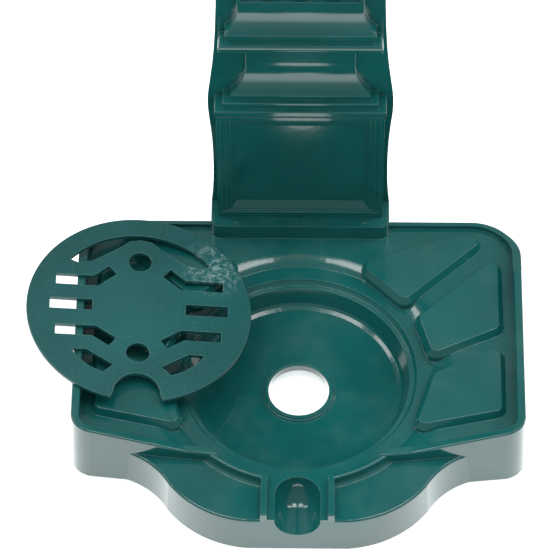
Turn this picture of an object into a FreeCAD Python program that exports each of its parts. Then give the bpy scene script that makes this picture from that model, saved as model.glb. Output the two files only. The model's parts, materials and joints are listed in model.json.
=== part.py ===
"""Cast-aluminium drinking fountain: basin base, pillar, loose drain grate, tap and water line.

Millimetres, +Z up, front towards -Y. The origin lies on the floor, on the axis of the
service opening under the pillar. The bowl is worked out about its own axis and then moved.
"""
import FreeCAD
import Part
import math
import os

V = FreeCAD.Vector
X, Y, Z = V(1, 0, 0), V(0, 1, 0), V(0, 0, 1)

# ---------------------------------------------------------------- driving dimensions
# basin, about the bowl axis
base_width = 420.0
base_back = 170.5            # bowl axis to the back edge
bowl_reach = 210.5           # origin to the bowl axis
base_front = 164.5           # bowl axis to the front face, at ledge height
wall_draft = 2.0             # how far the walls spread from their top to the floor
rim_height = 71.0
rim_width = 8.0
rim_width_back = 3.6
rim_back_height = 56.0       # where the rim runs low behind the tray
rim_front_height = 53.0      # where the sloping front rim meets the lip
back_corner_radius = 46.0
front_corner_radius = 20.0
front_wall_slope = 0.108     # sideways run of the front walls
front_wall_reach = 106.5     # where the two front walls would meet
tray_height = 51.0
pad_height = 6.5
pad_run = 4.5                # how far a pad's wall spreads to its foot
pad_corner_radius = 6.0
deck_height = 44.0
deck_radius = 125.0
deck_roll = 25.0             # width of the roll from the deck up to the tray
lip_height = 52.0
lip_radius = 128.0
lip_width = 5.0
ledge_height = 42.0
casting_wall = 6.0
rim_round = 1.6              # edge roundings
ledge_round = 2.0
lip_round = 1.6
pad_round = 0.8

# bowl, seat and drain
seat_mouth_radius = 111.0
seat_radius = 108.5
seat_depth = 4.5
bowl_radius = 104.0
bowl_foot_radius = 97.5
bowl_floor_height = 19.5
bowl_fillet = 5.0
drain_ring_radius = 34.5
drain_ring_height = 3.5
drain_radius = 28.5
drain_floor_height = 14.5
bowl_wall = 5.0

# overflow scoop at the front
scoop_radius = 21.0
scoop_ball_centre = 138.0    # bowl axis to the centre of the ball end
rib_width = 6.0
rib_gap = 7.0

# socket under the pillar
socket_width = 170.0
socket_front = 56.0          # origin to the front of the socket
socket_back = 56.0
socket_height = 69.0
socket_plate = 7.0
foot_plate = 8.0
service_radius = 20.0
anchor_radius = 5.5
anchor_x, anchor_y = 60.0, 34.0

# pillar
pillar_front = 44.0          # origin to the front of the pedestal
pedestal_half = 78.5
shaft_half = 57.5
return_share = 0.6           # front step of a moulding for each step at its sides
body_front = 24.0            # origin to the front face of the wide body behind the mouldings
parting = 20.0               # origin to the joint between front casting and rear cover
pillar_back = 46.0
pillar_top = 870.0
pillar_wall = 5.0
panel_depth = 4.0
boss_radius = 7.3
boss_pitch = 30.0
boss_height = 3.0

# tap
tap_height = pillar_top - 230.0
tap_block_half = 40.0
tap_block_depth = 6.0
tap_hole_radius = 10.6
tap_reach = 46.0             # front of the tap block to the tap's spindle
spout_reach = 42.0
spout_drop = 34.0
thread_radius = 10.4
bore_radius = 7.0
spindle_radius = 4.5
valve_travel = 3.75

# water line
pipe_radius = 7.5
pipe_wall = 1.0
inlet_height = 14.0

# grate
grate_radius = 106.0
grate_thickness = 4.0
grate_tilt = 5.6             # degrees, leaning off the side rim
grate_turn = 0.5
grate_x = 59.0 - base_width / 2
grate_y = 55.0               # from the bowl axis
grate_rest_gap = 0.2
fit = 0.05                   # radial running clearance
slack = 0.3                  # clearance of loose pieces

# ---------------------------------------------------------------- derived places
bowl_y = -bowl_reach
body_widths = [(socket_height, 85.0), (125.0, 82.5), (176.0, 84.0), (222.0, 86.5),
               (249.0, 84.0), (278.0, 81.0), (328.0, 78.0), (560.0, 75.0),
               (pillar_top - 50, 73.0), (pillar_top - 20, 77.0), (pillar_top, 80.0)]


# ---------------------------------------------------------------- small tools
def box(x0, x1, y0, y1, z0, z1):
    return Part.makeBox(x1 - x0, y1 - y0, z1 - z0, V(x0, y0, z0))


def rod(radius, start, length, direction=Z):
    return Part.makeCylinder(radius, length, start, direction)


def tube(outer, inner, start, length, direction=Z):
    return rod(outer, start, length, direction).cut(rod(inner, start, length, direction))


def prism(points, direction):
    """A straight prism on a closed polygon of points."""
    return Part.Face(Part.makePolygon(points + [points[0]])).extrude(direction)


def turned(profile, centre=V(0, 0, 0)):
    """A solid of revolution about the vertical through centre; profile is (radius, z)."""
    points = [V(r, 0, z) for r, z in profile]
    face = Part.Face(Part.makePolygon(points + [points[0]]))
    solid = face.revolve(V(0, 0, 0), Z, 360)
    solid.translate(centre)
    return solid


def hexagon(across_flats, start, length, direction=Z, bore=0.0):
    radius = across_flats / math.sqrt(3)
    points = [V(radius * math.cos(math.radians(60 * i)), radius * math.sin(math.radians(60 * i)), 0)
              for i in range(6)]
    solid = prism(points, V(0, 0, length))
    crown = turned([(0, 0), (across_flats / 2, 0), (radius, length * 0.12), (radius, length * 0.88),
                    (across_flats / 2, length), (0, length)])
    solid = solid.common(crown)
    if bore:
        solid = solid.cut(rod(bore, V(0, 0, -1), length + 2))
    solid.Placement = FreeCAD.Placement(start, FreeCAD.Rotation(Z, direction))
    return solid


def rounded_wire(corners, z):
    """A closed wire through corners (x, y, radius), each corner rounded by its radius."""
    count = len(corners)
    starts, arcs = [], []
    for i in range(count):
        x, y, radius = corners[i]
        here = V(x, y, z)
        before = V(corners[i - 1][0], corners[i - 1][1], z) - here
        after = V(corners[(i + 1) % count][0], corners[(i + 1) % count][1], z) - here
        before.normalize()
        after.normalize()
        if radius <= 0:
            starts.append((here, here))
            arcs.append(None)
            continue
        half = before.getAngle(after) / 2
        reach = radius / math.tan(half)
        middle = before + after
        middle.normalize()
        centre = here + middle * (radius / math.sin(half))
        first, last = here + before * reach, here + after * reach
        starts.append((first, last))
        arcs.append(Part.Arc(first, centre - middle * radius, last).toShape())
    edges = []
    for i in range(count):
        if arcs[i]:
            edges.append(arcs[i])
        a, b = starts[i][1], starts[(i + 1) % count][0]
        if a.distanceToPoint(b) > 1e-6:
            edges.append(Part.LineSegment(a, b).toShape())
    return Part.Wire(edges)


def inset_corners(corners, inset):
    """The corners of a convex outline moved inwards by inset, with smaller radii."""
    moved = []
    count = len(corners)
    for i in range(count):
        x, y, radius = corners[i]
        here = V(x, y, 0)
        before = V(corners[i - 1][0], corners[i - 1][1], 0) - here
        after = V(corners[(i + 1) % count][0], corners[(i + 1) % count][1], 0) - here
        before.normalize()
        after.normalize()
        half = before.getAngle(after) / 2
        middle = before + after
        middle.normalize()
        point = here + middle * (inset / math.sin(half))
        moved.append((point.x, point.y, max(radius - inset, 1.0)))
    return moved


def grown(wire, amount):
    return wire.makeOffset2D(amount) if abs(amount) > 1e-9 else wire.copy()


def raised(wire, z0, z1, spread):
    """A solid on a wire at z1, spreading outwards by spread down to z0."""
    top = wire.copy()
    top.translate(V(0, 0, z1 - wire.BoundBox.ZMin))
    foot = grown(wire, spread)
    foot.translate(V(0, 0, z0 - foot.BoundBox.ZMin))
    return Part.makeLoft([foot, top], True, True)


def merged(solids):
    result = solids[0]
    if len(solids) > 1:
        result = result.fuse(solids[1:])
    return result.removeSplitter()


def rounded_edges(solid, radius, chosen):
    """Rounds the edges that the test picks by their middle point and bounding box."""
    edges = []
    for edge in solid.Edges:
        if edge.Length < 0.5:
            continue
        middle = edge.valueAt((edge.FirstParameter + edge.LastParameter) / 2)
        if chosen(middle, edge.BoundBox):
            edges.append(edge)
    return solid.makeFillet(radius, edges)


def group(solids):
    return Part.makeCompound(solids)


def level(box_of_edge, z, tolerance=0.05):
    return abs(box_of_edge.ZMin - z) < tolerance and abs(box_of_edge.ZMax - z) < tolerance


# ---------------------------------------------------------------- basin base
half_width = base_width / 2


def tray_wire(inset_side, inset_back):
    """Plan of the tray: a rectangle with big back corners and two front walls in a shallow V."""
    side = half_width - inset_side
    front_side = -(front_wall_reach - inset_side) + front_wall_slope * side
    front_middle = -(front_wall_reach - inset_side)
    back = base_back - inset_back
    back_radius = back_corner_radius - inset_side
    front_radius = front_corner_radius - inset_side
    return rounded_wire([(side, back, back_radius), (-side, back, back_radius),
                         (-side, front_side, front_radius), (0, front_middle, 0),
                         (side, front_side, front_radius)], 0)


def ledge_wire(inset):
    """Plan of the front ledges: an ogee on each side and a flat front."""
    tip = V(160 - inset, -89, 0)
    hollow = V(138 - 0.8 * inset, -101 + 0.6 * inset, 0)
    turn = V(119 - 0.8 * inset, -123.5 + 0.6 * inset, 0)
    swell = V(93 - 0.6 * inset, -148.5 + 0.8 * inset, 0)
    front = V(46, -base_front + inset, 0)
    back = -60.0

    def mirror(p):
        return V(-p.x, p.y, 0)

    edges = [Part.Arc(tip, hollow, turn).toShape(), Part.Arc(turn, swell, front).toShape(),
             Part.LineSegment(front, mirror(front)).toShape(),
             Part.Arc(mirror(front), mirror(swell), mirror(turn)).toShape(),
             Part.Arc(mirror(turn), mirror(hollow), mirror(tip)).toShape(),
             Part.LineSegment(mirror(tip), V(-tip.x, back, 0)).toShape(),
             Part.LineSegment(V(-tip.x, back, 0), V(tip.x, back, 0)).toShape(),
             Part.LineSegment(V(tip.x, back, 0), tip).toShape()]
    return Part.Wire(edges)


def front_rim_wedge(lift=0.0):
    """Everything above the rim where it slopes down along the front walls."""
    high, low = rim_height + lift, rim_front_height + lift
    slope_start, slope_end = half_width - 12, half_width / 2
    points = [V(-slope_start, 0, high), V(-slope_end, 0, low), V(slope_end, 0, low),
              V(slope_start, 0, high), V(slope_start, 0, 200), V(-slope_start, 0, 200)]
    wedge = prism(points, V(0, -200, 0))
    wedge.translate(V(0, -20, 0))
    return wedge


def back_rim_wedge():
    """Everything above the rim where it runs down round the back corners."""
    points = [V(0, base_back - 70, rim_height), V(0, base_back - 14, rim_back_height),
              V(0, base_back + 30, rim_back_height), V(0, base_back + 30, 200),
              V(0, base_back - 70, 200)]
    wedge = prism(points, V(2 * half_width + 40, 0, 0))
    wedge.translate(V(-half_width - 20, 0, 0))
    return wedge


def deck_space_cut():
    """The room over the deck, with the convex roll that leads up to the tray."""
    rise = tray_height - deck_height
    radius = (deck_roll ** 2 + rise ** 2) / (2 * rise)
    outer = deck_radius + deck_roll
    middle = deck_radius + deck_roll / 2
    drop = radius - math.sqrt(radius ** 2 - (deck_roll / 2) ** 2)
    foot, top = V(deck_radius, 0, deck_height), V(outer, 0, tray_height)
    roll = Part.Arc(foot, V(middle, 0, tray_height - drop), top).toShape()
    rest = Part.makePolygon([top, V(outer, 0, tray_height + 20), V(0, 0, tray_height + 20),
                             V(0, 0, deck_height), foot])
    face = Part.Face(Part.Wire([roll] + rest.Edges))
    return face.revolve(V(0, 0, 0), Z, 360)


def tray_pads():
    """Three raised pads on each side, fanned round the bowl."""
    outlines = [[(59, 119), (116, 143.5), (162, 155.5), (170.5, 145), (99.5, 77.5)],
                [(113, 58), (179, 122), (187.5, 121), (188, 45.8), (125.5, 15.6)],
                [(127, -7), (188.5, 22.5), (188.5, -49.2), (109, -67.2)]]
    pads = []
    for outline in outlines:
        for side in (1, -1):
            corners = [(side * x, y, pad_corner_radius) for x, y in outline]
            top = rounded_wire(corners, pad_height)
            foot = rounded_wire(inset_corners(corners, -pad_run), 0)
            pad = Part.makeLoft([foot, top], True, True)
            pad = rounded_edges(pad, pad_round, lambda p, b: level(b, pad_height))
            root = Part.Face(foot).extrude(V(0, 0, deck_height - tray_height - 0.5))
            pad = pad.fuse(root)
            pad.translate(V(0, 0, tray_height))
            pads.append(pad)
    return pads


def bowl_space():
    """The open space of seat, bowl and drain, turned about the bowl axis."""
    seat = deck_height - seat_depth
    slope = (bowl_floor_height - drain_floor_height) / (bowl_foot_radius - drain_ring_radius)
    inner = bowl_foot_radius - bowl_fillet
    return turned([(0, lip_height + 40), (seat_mouth_radius, lip_height + 40),
                   (seat_mouth_radius, deck_height), (seat_mouth_radius - 0.8, deck_height - 1.6),
                   (seat_radius, seat + 0.8), (seat_radius - 0.5, seat),
                   (seat_radius - 1.9, seat), (seat_radius - 2.2, seat - 0.9),
                   (bowl_radius, seat - 0.9), (bowl_radius - 0.6, seat - 1.6), (bowl_foot_radius + 0.8, bowl_floor_height + 3.6),
                   (bowl_foot_radius - 1.2, bowl_floor_height + 1.2),
                   (inner, bowl_floor_height - bowl_fillet * slope),
                   (drain_ring_radius + 1, drain_floor_height),
                   (drain_ring_radius, drain_floor_height + 1.8), (drain_ring_radius - 1.6, drain_floor_height + 1.8),
                   (drain_ring_radius - 2.4, drain_floor_height + drain_ring_height),
                   (drain_radius + 1, drain_floor_height + drain_ring_height),
                   (drain_radius, drain_floor_height + drain_ring_height - 1), (drain_radius, -1), (0, -1)])


def bowl_backing():
    """The metal behind the bowl, one wall thicker than its space."""
    return turned([(0, deck_height), (seat_mouth_radius + bowl_wall, deck_height),
                   (seat_mouth_radius + bowl_wall, deck_height - seat_depth - bowl_wall),
                   (bowl_radius + bowl_wall, deck_height - seat_depth - bowl_wall - 2),
                   (bowl_foot_radius + bowl_wall, bowl_floor_height - bowl_wall + 2),
                   (drain_ring_radius + 4, drain_floor_height - bowl_wall), (0, drain_floor_height - bowl_wall)])


def scoop_space():
    """Half pipe with a ball end, open above and at the front."""
    centre = V(0, -scoop_ball_centre, ledge_height)
    run = base_front + 20 - scoop_ball_centre
    pipe = rod(scoop_radius, centre, run, -Y)
    ball = Part.makeSphere(scoop_radius, centre)
    shaft = rod(scoop_radius, centre, 40)
    above = box(-scoop_radius, scoop_radius, -scoop_ball_centre - run, -scoop_ball_centre,
                ledge_height, ledge_height + 40)
    return merged([pipe, ball, shaft, above])


def scoop_backing():
    centre = V(0, -scoop_ball_centre, ledge_height)
    radius = scoop_radius + bowl_wall
    shell = rod(radius, centre, base_front - scoop_ball_centre, -Y).fuse(Part.makeSphere(radius, centre))
    return shell.common(box(-60, 60, -base_front, 0, 1, ledge_height))


def socket():
    """The hollow foot under the pillar, in the pillar's own place."""
    half = socket_width / 2
    y0, y1 = -socket_front, socket_back
    wire = rounded_wire([(half, y1, 9), (-half, y1, 9), (-half, y0, 9), (half, y0, 9)], 0)
    return raised(wire, 0, socket_height, wall_draft / 2)


def basin_base():
    lip_inner = lip_radius - lip_width
    half_rib = scoop_radius + rib_gap + rib_width
    front_only = box(-200, 200, -base_front, -60, 0, 200)
    tray_plan = Part.Face(tray_wire(rim_width, rim_width_back))
    tray_space = tray_plan.extrude(V(0, 0, 200))
    tray_space.translate(V(0, 0, tray_height))

    # walls with their rounded tops
    tray_shell = raised(tray_wire(0, 0), 0, rim_height, wall_draft).cut(
        [front_rim_wedge(), tray_space])
    tray_shell = rounded_edges(tray_shell, rim_round, lambda p, b: p.z > rim_front_height - 1)
    tray_shell = tray_shell.cut(back_rim_wedge())
    ledges = raised(ledge_wire(0), 0, ledge_height, wall_draft)
    ledges = rounded_edges(ledges, ledge_round, lambda p, b: level(b, ledge_height) and p.y < -75)
    lip = tube(lip_radius, lip_inner, V(0, 0, 0), lip_height).common(front_only)
    lip = rounded_edges(lip, lip_round, lambda p, b: level(b, lip_height) and b.XLength > 100)
    lip_foot = turned([(0, 0), (lip_radius + 4, 0), (lip_radius + 4, ledge_height),
                       (lip_radius + 1.2, ledge_height + 1.2), (lip_radius, ledge_height + 4),
                       (lip_inner, ledge_height + 4), (lip_inner, deck_height), (0, deck_height)])
    ribs = []
    for side in (1, -1):
        near, far = sorted((side * (half_rib - rib_width), side * half_rib))
        rib = box(near, far, -base_front, -lip_inner + 4, 0, lip_height)
        ribs.append(rounded_edges(rib, lip_round, lambda p, b: level(b, lip_height) and b.XLength < 1
                                  or level(b, lip_height) and p.y < -base_front + 1))
    channel_floor = box(-half_rib + 1, half_rib - 1, -base_front, -100, 0, deck_height)
    outer = merged([tray_shell, ledges, lip, lip_foot.common(front_only), channel_floor] + ribs)

    # hollow underside
    tray_under = Part.Face(tray_wire(casting_wall, casting_wall)).extrude(
        V(0, 0, tray_height - casting_wall))
    under_disc = rod(lip_radius - casting_wall, V(0, 0, 0), deck_height - casting_wall)
    ledge_under = Part.Face(ledge_wire(casting_wall + 1)).extrude(V(0, 0, ledge_height - casting_wall))
    keep_deck = rod(deck_radius + deck_roll - 8, V(0, 0, deck_height - casting_wall), 40)
    under = merged([tray_under.cut(keep_deck), under_disc, ledge_under])
    body = outer.cut(under)
    body = merged([body, bowl_backing(), scoop_backing()])

    # open spaces above
    deck_space = turned([(0, deck_height), (lip_inner, deck_height), (lip_inner, 200), (0, 200)])
    deck_cone = deck_space_cut().common(tray_plan.extrude(V(0, 0, 300)))
    channel = box(-scoop_radius - rib_gap, scoop_radius + rib_gap, -base_front - 10,
                  -lip_inner + 12, deck_height, 200)
    body = body.cut(merged([tray_space, deck_space, deck_cone, channel]))
    body = body.cut(bowl_space())
    body = body.cut(scoop_space())
    foot = socket()
    foot.translate(V(0, -bowl_y, 0))
    body = merged([body, foot] + tray_pads())

    # socket for the pillar
    body.translate(V(0, bowl_y, 0))
    inner_half = socket_width / 2 - casting_wall
    y0, y1 = -socket_front + casting_wall, socket_back - casting_wall
    room = box(-inner_half, inner_half, y0, y1, foot_plate, socket_height - socket_plate)
    mouth = box(-50, 50, -16, parting + 16, foot_plate, socket_height + 1)
    body = body.cut([room, mouth, rod(service_radius, V(0, 0, -1), foot_plate + 2)])
    for x in (-anchor_x, anchor_x):
        for y in (-anchor_y, anchor_y):
            body = body.cut(rod(anchor_radius, V(x, y, -1), foot_plate + 2))
    for x, y in foot_bolt_places:
        body = body.cut(rod(bolt_radius + 0.5, V(x, y, socket_height - socket_plate - 1), socket_plate + 2))
    return body


# ---------------------------------------------------------------- fasteners between base and pillar
bolt_radius = 4.0
foot_flange = 8.0
foot_bolt_places = [(x, y) for x in (-62.0, 62.0) for y in (-22.0, 8.0)]


def foot_bolts():
    bolts = []
    top = socket_height + foot_flange
    for x, y in foot_bolt_places:
        head = hexagon(13, V(x, y, top + 1.6), 5.3)
        shank = rod(bolt_radius, V(x, y, socket_height - socket_plate - 12), socket_plate + foot_flange + 13.6)
        bolts.append(head.fuse(shank).removeSplitter())
    return group(bolts)


def foot_washers():
    washers = []
    for x, y in foot_bolt_places:
        for z in (socket_height + foot_flange, socket_height - socket_plate - 1.6):
            washers.append(tube(8, bolt_radius + 0.3, V(x, y, z), 1.6))
    return group(washers)


def foot_nuts():
    z = socket_height - socket_plate - 1.6 - 6.5
    return group([hexagon(13, V(x, y, z), 6.5, Z, bolt_radius + 0.05) for x, y in foot_bolt_places])


# ---------------------------------------------------------------- pillar
def front_of(half):
    """Front face of a moulding whose half width is half."""
    return -pillar_front + (pedestal_half - half) * return_share


# half width against height, up the mouldings; "arc" entries give the middle of a hollow curve
mouldings = [
    (pedestal_half, socket_height), (pedestal_half, 218.5), (pedestal_half - 1.2, 218.5),
    (pedestal_half - 1.2, 220.0), (80.0, 221.5), (80.0, 226.5), (79.0, 227.5), (72.3, 227.5),
    (72.3, 234.0), (71.5, 234.6), (64.5, 234.6), (64.5, 240.0), ("arc", 54.0, 255.0),
    (50.5, 277.5), (50.5, 306.5), (73.0, 307.5), ("arc", 75.5, 312.5), (73.0, 318.0),
    (67.5, 318.5), (67.5, 325.0), (69.0, 326.0), (69.0, 328.5), ("arc", 60.5, 341.0),
    (shaft_half, 358.5), (shaft_half, pillar_top - 48), (60.0, pillar_top - 46),
    (60.0, pillar_top - 41), ("arc", 63.0, pillar_top - 28), (72.0, pillar_top - 20),
    (75.0, pillar_top - 20), (75.0, pillar_top)]


def moulding_edges(place):
    """Edges up one side of the pillar; place turns (half width, height) into a point."""
    edges, last, bend = [], None, None
    for entry in mouldings:
        if entry[0] == "arc":
            bend = place(entry[1], entry[2])
            continue
        point = place(entry[0], entry[1])
        if last is not None:
            curve = Part.Arc(last, bend, point) if bend is not None else Part.LineSegment(last, point)
            edges.append(curve.toShape())
        last, bend = point, None
    return edges


def moulded_stack(back):
    """Mitred mouldings: the front view and the side view of the stack, intersected."""
    z0, z1 = socket_height, pillar_top
    top_half, foot_half = mouldings[-1][0], mouldings[0][0]
    right = moulding_edges(lambda w, z: V(w, 0, z))
    left = moulding_edges(lambda w, z: V(-w, 0, z))
    front_view = Part.Wire(right + [Part.LineSegment(V(top_half, 0, z1), V(-top_half, 0, z1)).toShape()]
                           + left[::-1]
                           + [Part.LineSegment(V(-foot_half, 0, z0), V(foot_half, 0, z0)).toShape()])
    across = Part.Face(front_view).extrude(V(0, pillar_front + back + 20, 0))
    across.translate(V(0, -pillar_front - 20, 0))
    up = moulding_edges(lambda w, z: V(0, front_of(w), z))
    side_view = Part.Wire(up + [
        Part.LineSegment(V(0, front_of(top_half), z1), V(0, back, z1)).toShape(),
        Part.LineSegment(V(0, back, z1), V(0, back, z0)).toShape(),
        Part.LineSegment(V(0, back, z0), V(0, front_of(foot_half), z0)).toShape()])
    along = Part.Face(side_view).extrude(V(240, 0, 0))
    along.translate(V(-120, 0, 0))
    return across.common(along)


def wide_body(front, back, inset=0.0, z_inset=0.0):
    """The flat body behind the mouldings, with its waving side outline."""
    first, last = body_widths[0], body_widths[-1]
    points = [V(w - inset, front, z) for z, w in body_widths]
    points[0].z, points[-1].z = first[0] + z_inset, last[0] - z_inset
    curve = Part.BSplineCurve()
    curve.interpolate(points)
    mirrored = Part.BSplineCurve()
    mirrored.interpolate([V(-p.x, p.y, p.z) for p in points])
    edges = [curve.toShape(),
             Part.LineSegment(points[-1], V(-points[-1].x, front, points[-1].z)).toShape(),
             mirrored.toShape(),
             Part.LineSegment(V(-points[0].x, front, points[0].z), points[0]).toShape()]
    wire = Part.Wire(Part.__sortEdges__(edges))
    return Part.Face(wire).extrude(V(0, back - front, 0))


def panel_space(half, z0, z1, front, depth, side_bevel, foot_bevel, top_bevel):
    """A sunk panel with bevelled sides, as a solid to cut away."""
    outer = Part.makePolygon([V(-half, front, z0), V(half, front, z0), V(half, front, z1),
                              V(-half, front, z1), V(-half, front, z0)])
    inner_half, a, b = half - side_bevel, z0 + foot_bevel, z1 - top_bevel
    inner = Part.makePolygon([V(-inner_half, front + depth, a), V(inner_half, front + depth, a),
                              V(inner_half, front + depth, b), V(-inner_half, front + depth, b),
                              V(-inner_half, front + depth, a)])
    return Part.makeLoft([outer, inner], True, True)


def panel_bosses(z, floor):
    """A row of three round bosses standing on a panel floor."""
    bosses = []
    for i in (-1, 0, 1):
        cone = Part.makeCone(boss_radius, boss_radius - 1.2, boss_height, V(i * boss_pitch, floor, z), -Y)
        bosses.append(cone)
    return bosses


cover_screw_places = [(x, z) for x in (-62.0, 62.0) for z in (110.0, 470.0, pillar_top - 70)]
clip_heights = (190.0, tap_height - 170)
cap_screw_places = [(x, y) for x in (-58.0, 58.0) for y in (-20.0, 10.0)]
panel_foot, panel_top = 367.5, tap_height - 70
upper_panel_foot, upper_panel_top = tap_height + 65, pillar_top - 58


def column_front():
    back = parting
    solid = moulded_stack(back).fuse(wide_body(-body_front, back))
    front = -pillar_front
    frame_z0, frame_z1 = socket_height + 5.5, 216.0
    # pedestal: two fine steps, then the bevelled panel
    for inset, depth in ((4.2, 1.0), (9.2, 2.0)):
        solid = solid.cut(box(-pedestal_half + inset, pedestal_half - inset, front - 1, front + depth,
                              frame_z0 + inset * 0.4, frame_z1 - inset * 0.4))
    solid = solid.cut(panel_space(pedestal_half - 13.0, frame_z0 + 5.0, frame_z1 - 4.5, front + 1.99,
                                  panel_depth, 5.5, 8.0, 12.0))
    # shaft panels with rows of bosses
    shaft_front = front_of(shaft_half)
    floor = shaft_front + 3.0
    rows = []
    for z0, z1 in ((panel_foot, panel_top), (upper_panel_foot, upper_panel_top)):
        solid = solid.cut(panel_space(shaft_half - 3.2, z0, z1, shaft_front - 0.01, 3.01, 0.6, 0.6, 0.6))
        for z in (z0 + 10.0, z1 - 10.0):
            rows += panel_bosses(z, floor)
    block = box(-tap_block_half, tap_block_half, shaft_front - tap_block_depth, 0,
                tap_height - tap_block_half, tap_height + tap_block_half)
    block = block.makeChamfer(2.5, [e for e in block.Edges
                                    if abs(e.BoundBox.YMax - (shaft_front - tap_block_depth)) < 0.01])
    solid = solid.fuse(rows + [block])
    # hollow, open to the back
    room_front = front_of(shaft_half) + pillar_wall + 4.0
    pedestal_room = -pillar_front + panel_depth + 2 + pillar_wall
    rooms = [box(-pedestal_half + pillar_wall + 1, pedestal_half - pillar_wall - 1,
                 pedestal_room, back, socket_height + foot_flange, 214.0),
             box(-44, 44, room_front, back, 200.0, pillar_top + 1),
             box(-67, 67, -body_front + pillar_wall, back, 200.0, pillar_top - 8.0),
             box(-50, 50, -16, back, socket_height - 1, socket_height + foot_flange + 1)]
    solid = solid.cut(rooms)
    # lands inside: cover screw pillars, clip bosses, cap lugs
    posts = []
    for x, z in cover_screw_places:
        start = pedestal_room - 1 if z < 214 else -body_front + 2
        posts.append(rod(7, V(x, start, z), back - start, Y))
    posts += [rod(8, V(20, room_front - 1, z), -room_front + 1 - clip_back, Y) for z in clip_heights[1:]]
    posts += [rod(8, V(20, -pillar_front + 10, z), pillar_front - 10 - clip_back, Y)
              for z in clip_heights[:1]]
    solid = solid.fuse(posts)
    for x, z in cover_screw_places:
        solid = solid.cut(rod(2.55, V(x, parting - 16, z), 20, Y))
    for z in clip_heights:
        solid = solid.cut(rod(2.05, V(20, -clip_back - 10, z), 12, Y))
    for x, y in cap_screw_places:
        solid = solid.cut(rod(2.55, V(x, y, pillar_top - 30), 40))
    for x, y in foot_bolt_places:
        solid = solid.cut(rod(bolt_radius + 0.5, V(x, y, socket_height - 1), foot_flange + 2))
    solid = solid.cut(rod(tap_hole_radius, V(0, -80, inlet_axis), 80, Y))
    # weep notch at the foot
    solid = solid.cut(rod(2.6, V(0, -pillar_front - 1, socket_height), 14, Y))
    return solid.removeSplitter()


def rear_cover():
    outer = wide_body(parting, pillar_back)
    outer = outer.makeFillet(4.0, [e for e in outer.Edges if abs(e.BoundBox.YMin - pillar_back) < 0.01
                                   and e.BoundBox.ZLength > 100])
    room = wide_body(parting - 1, pillar_back - 4.0, 5.0, 5.0)
    solid = outer.cut(room)
    posts = [rod(7, V(x, parting, z), pillar_back - parting - 2, Y) for x, z in cover_screw_places]
    solid = solid.fuse(posts)
    for x, z in cover_screw_places:
        solid = solid.cut(rod(2.8, V(x, parting - 1, z), 40, Y))
        solid = solid.cut(rod(5.2, V(x, pillar_back - 5.0, z), 10, Y))
    return solid.removeSplitter()


def cover_screws():
    screws = []
    for x, z in cover_screw_places:
        seat = pillar_back - 5.0
        head = rod(4.8, V(x, seat, z), 3.2, Y).cut(hexagon(3.2, V(x, seat + 1.4, z), 4, Y))
        screws.append(head.fuse(rod(2.5, V(x, seat - 34, z), 34, Y)).removeSplitter())
    return group(screws)


# ---------------------------------------------------------------- cap and finial
cap_height = 52.0
cap_half, cap_front, cap_back = 88.0, 50.0, 54.0
stud_radius = 5.0


def column_cap():
    """Square cap: a flat edge, then a hollow-curved roof up to a round seat."""
    z0 = pillar_top
    middle = (cap_back - cap_front) / 2
    levels = [(0.0, 4.0, 0.0), (0.0, 0.0, 3.0), (0.0, 0.0, 12.0), (0.12, 0.0, 14.0), (0.42, 0.0, 23.0),
              (0.64, 0.0, 34.0), (0.78, 0.0, 46.0), (0.80, 0.0, cap_height)]
    sections = []
    for share, inset, rise in levels:
        half = cap_half * (1 - share) - inset
        depth = (cap_front + cap_back) / 2 * (1 - share) - inset
        z = z0 + rise
        sections.append(Part.makePolygon([V(-half, middle - depth, z), V(half, middle - depth, z),
                                          V(half, middle + depth, z), V(-half, middle + depth, z),
                                          V(-half, middle - depth, z)]))
    solid = Part.makeLoft(sections, True, True)
    room = box(-60, 60, -26, 34, z0 - 1, z0 + 9)
    solid = solid.cut(room)
    for x, y in cap_screw_places:
        solid = solid.cut(rod(2.8, V(x, y, z0 - 1), 60))
        solid = solid.cut(rod(5.2, V(x, y, z0 + 5.0), 60))
    solid = solid.cut(rod(stud_radius + 0.2, V(0, middle, z0), 80))
    return solid.removeSplitter()


def cap_screws():
    screws = []
    for x, y in cap_screw_places:
        z = pillar_top + 5.0
        head = rod(4.8, V(x, y, z), 3.2).cut(hexagon(3.2, V(x, y, z + 1.4), 4))
        screws.append(head.fuse(rod(2.5, V(x, y, z - 24), 24)).removeSplitter())
    return group(screws)


finial_middle = (cap_back - cap_front) / 2
finial_foot = pillar_top + cap_height


def finial():
    z = finial_foot
    ball = 20.0
    neck = turned([(0, z), (17, z), (17, z + 4), (13, z + 6), (9, z + 12), (9, z + 15), (12, z + 17),
                   (12, z + 20), (0, z + 20)], V(0, finial_middle, 0))
    sphere = Part.makeSphere(ball, V(0, finial_middle, z + 20 + ball * 0.88))
    tip = Part.makeCone(7, 3, 9, V(0, finial_middle, z + 20 + ball * 1.8))
    return neck.fuse([sphere, tip]).cut(rod(stud_radius + fit, V(0, finial_middle, z - 1), 19)).removeSplitter()


def finial_stud():
    return rod(stud_radius, V(0, finial_middle, pillar_top + 2), cap_height + 15)


def finial_nut():
    return hexagon(17, V(0, finial_middle, pillar_top + 3.5), 5.4, Z, stud_radius + fit)


# ---------------------------------------------------------------- tap
inlet_axis = tap_height - 7.0        # supply side, below the valve seat
outlet_axis = tap_height + 8.0       # spout side, above the valve seat
block_face = front_of(shaft_half) - tap_block_depth
tap_y = block_face - tap_reach
spout_y = tap_y - spout_reach
chamber_radius = 17.0
chamber_bore = 13.0
chamber_top = tap_height + 22.0
seat_radius_tap = 6.0
seat_top = tap_height + 1.0
rosette_thickness = 5.0
wall_back = front_of(shaft_half) + pillar_wall + 4.0   # inner face of the pillar wall
headgear_height = 18.0
carrier_radius = 9.0


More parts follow.
